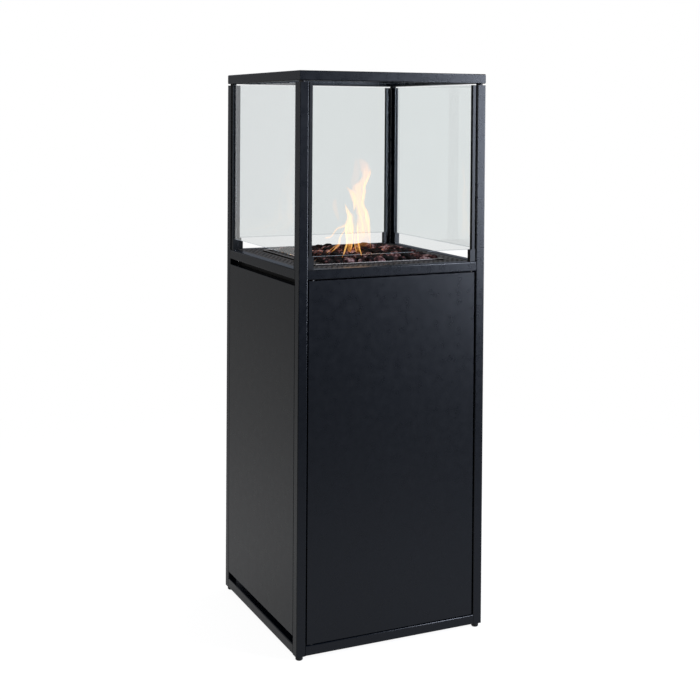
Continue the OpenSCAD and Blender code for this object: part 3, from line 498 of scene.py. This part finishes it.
def rough_stones():
    """Each stone is knocked about: swollen, cut by planes, pitted, and shifted."""
    seed = 7
    towards_dark = 1.8
    noise_reach = 9
    nudges = ((-1.8, 1.8), (-1.8, 1.8), (-1, 0.8))
    swellings = (1.1, 1.55)
    planes = 9
    plane_reaches = (0.5, 0.85)
    flattened = 0.92
    lumps_per_metre = 260
    lump_height = 0.9 * mm
    pits_per_metre = 520
    pit_depth = 1.2 * mm
    bm = bmesh.new()
    bm.from_mesh(nodes["lava_stones"].data)
    bmesh.ops.remove_doubles(bm, verts=bm.verts, dist=0.01 * mm)
    bmesh.ops.subdivide_edges(bm, edges=bm.edges, cuts=3, use_grid_fill=True)
    tone = bm.verts.layers.float.new("tone")
    bm.verts.ensure_lookup_table()
    floor = min(v.co.z for v in bm.verts)
    dice = random.Random(seed)
    for verts in sorted(islands(bm), key=first_corner):
        middle = sum((v.co for v in verts), Vector()) / len(verts)
        size = max((v.co - middle).length for v in verts)
        lead = dice.random() ** towards_dark
        own_noise = Vector([dice.random() for _ in range(3)]) * noise_reach
        nudge = Vector([dice.uniform(*span) for span in nudges]) * mm
        swelling = dice.uniform(*swellings)
        cuts = []
        for _ in range(planes):
            facing = Vector([dice.gauss(0, 1) for _ in range(3)]).normalized()
            cuts.append((facing, size * dice.uniform(*plane_reaches)))
        for v in verts:
            out = (v.co - middle) * swelling
            for facing, reach in cuts:
                over = out.dot(facing) - reach
                if over > 0:
                    out -= facing * over * flattened
            spot = v.co + own_noise
            lump = noise.noise(spot * lumps_per_metre) * lump_height
            pit = max(0, noise.noise(spot * pits_per_metre)) * pit_depth
            v.co = middle + nudge + out + out.normalized() * (lump - pit)
            v.co.z = max(v.co.z, floor)
            v[tone] = lead
    made = piece_from("lava_stones_rough", bm, "column", finishes["lava_stone"])
    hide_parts("lava_stones")


rough_stones()


# Flame

# Each tongue: name, density, and its spine as points of millimetres across the
# view, height, full width, and depth behind the middle
tongues = [
    ("body_middle", 0.72, [
        (-3, 752, 10, -30), (-4, 778, 18, 0), (-5, 790, 18, 0), (-4, 803, 15, 0),
        (-4, 813, 12, 0), (-10, 828, 6, 0), (-14, 839, 1, 0),
    ]),
    ("edge_middle", 1.15, [
        (-17.5, 740, 1.5, -118), (-13, 750, 4, -70), (-9, 761, 4.5, -28), (-10, 772, 4, -12),
        (-12, 788, 3, -6), (-11, 801, 1.5, -6),
    ]),
    ("glow_middle", 0.46, [(-5, 747, 6, -85), (-3, 757, 12, -42), (-3, 766, 10, -20)]),
    ("strand_middle", 0.8, [
        (-2, 748, 1.5, -76), (1.5, 760, 3, -30), (2.5, 785, 2.5, -4), (2.5, 801, 2, -4),
    ]),
    ("strand_gap", 0.8, [(11, 746, 1.5, -84), (7, 759, 3, -36), (8, 781, 1.5, -8)]),
    ("strand_right", 0.95, [
        (21, 743, 1.5, -108), (16.5, 753, 3.5, -58), (13.5, 769, 3, -16), (13, 801, 2.5, -6),
    ]),
    ("glow_right", 0.3, [(15, 747, 6, -86), (13.5, 757, 10, -44), (13.5, 766, 8, -20)]),
    ("body_main", 0.52, [
        (23, 751, 23, -10), (23, 760, 31, 0), (23, 784, 31, 4), (24, 808, 28, 4),
        (18, 830, 23, 4), (14, 840, 23, 4), (11, 855, 30, 4), (14, 869, 27, 4), (21, 880, 18, 4),
        (28, 893, 16, 4), (29, 904, 21, 4), (25, 918, 21, 4), (15, 932, 8, 4),
    ]),
    ("edge_main", 0.62, [
        (39, 750, 1.5, -30), (38, 770, 5, 2), (34, 803, 9, 2), (31, 818, 10, 2),
        (23, 838, 8, 2), (26, 863, 8, 2), (26, 875, 6.5, 2), (37, 900, 5, 2), (38, 911, 2, 2),
    ]),
    ("vein_main", 0.35, [
        (23, 764, 3, 0), (26, 776, 4, 0), (22, 800, 4.5, 0), (13, 836, 5, 0), (12, 846, 2, 0),
    ]),
    ("shoulder", 0.5, [
        (4, 822, 2, -2), (6, 834, 6, -2), (6, 846, 10, -2), (2, 859, 11, -2), (-12, 875, 1.5, -2),
    ]),
    ("gap_glow", 0.17, [(6, 754, 10, -10), (5, 780, 15, 3), (2, 807, 12, 3), (1, 821, 5, 3)]),
    ("branch_left", 0.5, [
        (-10, 797, 5, -2), (-18, 792, 6, -3), (-30, 787, 4, -5), (-41, 772, 3, -7),
        (-49, 769, 4, -8), (-55, 768, 2, -8),
    ]),
    ("strand_left", 0.72, [
        (-12, 787, 4, -4), (-23, 770, 4, -9), (-25.5, 758, 5.5, -30), (-33, 752, 3, -62),
        (-41, 747, 2, -84),
    ]),
    ("strand_left_low", 0.5, [(-25, 759, 3.5, -28), (-41, 751, 2, -64), (-50, 746, 1.5, -90)]),
    ("ghost", 0.13, [(-26, 802, 4, 3), (-31, 819, 10, 3), (-35, 835, 12, 3), (-33, 850, 4, 3)]),
    ("veil", 0.11, [
        (4, 867, 8, 6), (5, 880, 19, 6), (10, 906, 17, 6), (9, 921, 10, 6), (9, 935, 4, 6),
    ]),
]

# The second sheet of a tongue stands square to the first, narrower and thinner
sheet_widths = (1, 0.7)
sheet_densities = (1, 0.6)


def spline(points, steps):
    """A smooth path through the points, a Catmull-Rom spline, with steps to each
    stretch."""
    ends = [points[0], *points, points[-1]]
    for k in range(len(points) - 1):
        a, b, c, d = (Vector(p) for p in ends[k : k + 4])
        for s in range(steps):
            t = s / steps
            yield 0.5 * (2 * b + (c - a) * t + (2 * a - 5 * b + 4 * c - d) * t * t
                         + (3 * b - a - 3 * c + d) * t ** 3)
    yield Vector(points[-1])


def faded_ends(along):
    """From least at either end of a spine, where along is 0 or 1, up to 1."""
    least = 0.1
    rise = 5
    return min(1, rise * along + least) * min(1, rise * (1 - along) + least)


def tongue(name, density, points, material):
    """Two soft edged sheets that cross along one spine. They cast no shadow, and
    don't light what is near them: the flame's lamps do that."""
    columns = 10
    edge_power = 3
    sway = 2
    sway_height = 13
    ripple = 0.2
    ripples_across = 2
    ripple_height = 7
    ripple_side = 9
    sheets_apart = 7
    path = list(spline(points, steps=9))
    bm = bmesh.new()
    cover = bm.verts.layers.float.new("cover")
    for sheet in range(2):
        swing = Matrix.Rotation(math.radians(90 * sheet), 3, "Z")
        grid = []
        for k, (side, height, width, depth) in enumerate(path):
            depth += sway * math.sin(height / sway_height)
            centre = (across * side + away * depth) * mm
            step = path[min(k + 1, len(path) - 1)] - path[max(k - 1, 0)]
            lean = Vector((step[0], step[1])).normalized()
            ends = faded_ends(k / (len(path) - 1))
            row = []
            for c in range(columns + 1):
                u = 2 * c / columns - 1
                spot = Vector((
                    u * ripples_across, height / ripple_height,
                    sheet * sheets_apart + side / ripple_side,
                ))
                uneven = 1 + ripple * noise.noise(spot)
                out = u * width / 2 * uneven * sheet_widths[sheet] * mm
                offset = swing @ (across * out * lean.y)
                lift = -out * lean.x if sheet == 0 else 0
                vert = bm.verts.new(centre + offset + Vector((0, 0, height * mm + lift)))
                soft = (1 - abs(u) ** edge_power) * ends
                vert[cover] = density * soft * sheet_densities[sheet]
                row.append(vert)
            grid.append(row)
        for low, high in zip(grid, grid[1:]):
            for a, b, c, d in zip(low, low[1:], high[1:], high):
                bm.faces.new((a, b, c, d)).smooth = True
    piece = piece_from("flame_" + name, bm, "column", material)
    piece.visible_shadow = False
    piece.visible_diffuse = False


flame_finish = fire("flame")
for name, density, points in tongues:
    tongue(name, density, points, flame_finish)


# Pointer line on the knob


def pointer():
    """A white line let into the knob's face, from near its rim to near its middle."""
    half_width = 0.8 * mm
    proud = 0.15 * mm
    sunk = 0.4 * mm
    from_rim = 4 * mm
    to_middle = 13 * mm
    rounding = 0.15 * mm
    knob_lo, knob_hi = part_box("control_knob")
    centre = (knob_lo.x + knob_hi.x) / 2
    low = Vector((centre - half_width, knob_lo.y - proud, knob_hi.z - to_middle))
    high = Vector((centre + half_width, knob_lo.y + sunk, knob_hi.z - from_rim))
    bm = bmesh.new()
    bmesh.ops.create_cube(bm, size=1)
    for v in bm.verts:
        v.co = (low + high) / 2 + v.co * (high - low)
    bmesh.ops.bevel(bm, geom=bm.edges, offset=rounding, segments=2, affect="EDGES", profile=0.5)
    white_mark = moulded("white_mark", (0.75, 0.75, 0.73), roughness=0.4)
    piece_from("knob_pointer", bm, "knob", white_mark)


pointer()


# Weld tacks that close the corners between the posts and the deck's folds


def tacks():
    """A small upright blob of weld in each corner of the deck."""
    radius = 1 * mm
    tallness = 5
    middle_height = 5 * mm
    outward = 1.0005
    noise_per_metre = 900
    uneven = Vector((0.18, 0.18, 0)) * mm
    bm = bmesh.new()
    deck_lo, deck_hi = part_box("deck_grille")
    for x in (deck_lo.x, deck_hi.x):
        for y in (deck_lo.y, deck_hi.y):
            spot = Matrix.Translation((x * outward, y * outward, deck_lo.z + middle_height))
            shape = spot @ Matrix.Diagonal((1, 1, tallness, 1))
            bmesh.ops.create_icosphere(bm, subdivisions=2, radius=radius, matrix=shape)
    for v in bm.verts:
        v.co += uneven * noise.noise(v.co * noise_per_metre)
    piece_from("corner_tacks", bm, "column", finishes["frame_coating"])


tacks()


# Studio


def studio_world():
    """White where the camera looks past the object. A softer room, lighter at
    the back and at the left, lights the object and shows in its coat."""
    warm = (1.0, 0.985, 0.96)
    cool = (0.84, 0.9, 1.06)
    world = bpy.data.worlds.new("studio")
    scene.world = world
    world.use_nodes = True
    tree = world.node_tree
    tree.nodes.clear()
    direction = add(tree, "ShaderNodeTexCoord").outputs["Generated"]
    backward = part_of(tree, direction, "Y")
    rightward = part_of(tree, direction, "X")
    back = mapped(tree, backward, start=-0.2, end=0.7, low=0.11, high=0.25, smooth=True)
    left = mapped(tree, rightward, start=0.2, end=-0.9, low=0, high=0.25, smooth=True)
    coat_sees = computed(tree, "MAXIMUM", back, left)
    glass_sees = mapped(tree, backward, start=0, end=0.5, low=0, high=0.6, smooth=True)
    path, through, seen = straight_view(tree)
    level = between(tree, path.outputs["Is Singular Ray"], coat_sees, glass_sees)
    tint = tinted(tree, mapped(tree, rightward, start=-0.8, end=0.3), warm, cool)
    room = add(tree, "ShaderNodeBackground", {"Color": tint, "Strength": level})
    blank = add(tree, "ShaderNodeBackground", {
        "Color": (*white, 1), "Strength": ranged(tree, through, 1.0, white_behind_glass),
    })
    both = overlaid(tree, seen, room.outputs["Background"], blank.outputs["Background"])
    surfaced(tree, both, "ShaderNodeOutputWorld")


def floor_finish():
    """White as the camera sees it, but for the object's soft shadow near it.
    The coat and the panes mirror it darker, most of all before the object."""
    black = (0.0, 0.0, 0.0)
    grey = (0.22, 0.22, 0.22)
    white_near = 0.93
    material, tree = new_material("studio_floor")
    vector = place(tree)
    backward = part_of(tree, vector, "Y")
    reach = add(tree, "ShaderNodeVectorMath", {0: vector}, operation="LENGTH").outputs["Value"]
    near = mapped(tree, reach, start=1.9, end=0.4, smooth=True)
    matt = add(tree, "ShaderNodeBsdfDiffuse", {"Color": tinted(tree, near, black, grey)})
    path, through, seen = straight_view(tree)
    camera_sees = computed(
        tree, "MULTIPLY", ranged(tree, near, 1.0, white_near),
        ranged(tree, through, 1.0, white_behind_glass),
    )
    before = mapped(tree, reach, start=0.2, end=4.0, low=0.26, high=0.03)
    behind = mapped(tree, reach, start=1.5, end=5.0, low=0.3, high=0.2)
    side = mapped(tree, backward, start=-0.3, end=0.5, smooth=True)
    coat_sees = between(tree, side, before, behind)
    coat_sees = computed(tree, "MULTIPLY", path.outputs["Is Glossy Ray"], coat_sees)
    glass_sees = mapped(tree, backward, start=0, end=2.0, low=0, high=0.6)
    mirrored = between(tree, path.outputs["Is Singular Ray"], coat_sees, glass_sees)
    strength = between(tree, seen, mirrored, camera_sees)
    glow = add(tree, "ShaderNodeEmission", {"Color": (*white, 1), "Strength": strength})
    both = add(tree, "ShaderNodeAddShader", {0: matt.outputs["BSDF"], 1: glow.outputs["Emission"]})
    surfaced(tree, both.outputs["Shader"])
    return material


def pale_floor():
    """A square floor that reaches past the picture."""
    half_side = 9
    bm = bmesh.new()
    bmesh.ops.create_grid(bm, x_segments=4, y_segments=4, size=half_side)
    floor = mesh_object("studio_floor", bm)
    floor.data.materials.append(floor_finish())


def lamp_at(spot, name, kind, power, colour):
    """A lamp, and the object that holds it."""
    lamp = bpy.data.lights.new(name, kind)
    lamp.energy = power
    lamp.color = colour
    holder = bpy.data.objects.new(name, lamp)
    holder.location = spot
    scene.collection.objects.link(holder)
    return lamp, holder


def softbox(name, spot, target, size, power, colour=white):
    """A rectangular lamp at spot that faces target."""
    lamp, holder = lamp_at(spot, name, "AREA", power, colour)
    lamp.shape = "RECTANGLE"
    lamp.size, lamp.size_y = size
    holder.rotation_euler = (Vector(target) - Vector(spot)).to_track_quat("-Z", "Y").to_euler()


def flame_lamp(name, side, depth, height, power, radius):
    """Warm light of the flame on the stones; the lamp itself isn't seen."""
    orange = (1.0, 0.42, 0.15)
    spot = across * side + away * depth + Vector((0, 0, height))
    lamp, holder = lamp_at(spot, name, "POINT", power, orange)
    lamp.shadow_soft_size = radius
    holder.visible_camera = False
    holder.visible_glossy = False
    holder.visible_transmission = False


studio_world()
pale_floor()
softbox(
    "key_right", spot=(1.99, -2.07, 1.18), target=(0.1, -0.2, 0.9), size=(0.8, 1.5),
    power=78, colour=(0.77, 0.84, 1.0),
)
softbox(
    "fill_left", spot=(-2.6, -0.6, 1.5), target=(0, 0, 0.6), size=(1.4, 1.8),
    power=14, colour=(1.0, 0.98, 0.95),
)
softbox("top", spot=(0.2, 0.2, 3.2), target=(0, 0, 0.6), size=(1.8, 1.8), power=22)
flame_lamp("flame_light", side=0.008, depth=0, height=0.80, power=0.22, radius=0.03)
flame_lamp("ember_left", side=-0.076, depth=-0.085, height=0.757, power=0.012, radius=0.006)


# Camera at the photograph's viewing angle


def photo_camera():
    """Nearly level, with its picture shifted so that upright edges stay upright."""
    spot = (-1.088, -2.3313, 1.026)
    pitch = math.radians(-1.13)
    roll = math.radians(0.39)
    ahead = away * math.cos(pitch) + Vector((0, 0, math.sin(pitch)))
    level_up = across.cross(ahead)
    right = across * math.cos(roll) + level_up * math.sin(roll)
    up = level_up * math.cos(roll) - across * math.sin(roll)
    optics = bpy.data.cameras.new("camera")
    optics.lens = 64.11
    optics.shift_y = -0.3034
    optics.sensor_width = 36
    optics.clip_start = 0.05
    optics.clip_end = 60
    camera = bpy.data.objects.new("camera", optics)
    turned = Matrix((right, up, -ahead)).transposed().to_4x4()
    camera.matrix_world = Matrix.Translation(spot) @ turned
    scene.collection.objects.link(camera)
    scene.camera = camera


photo_camera()
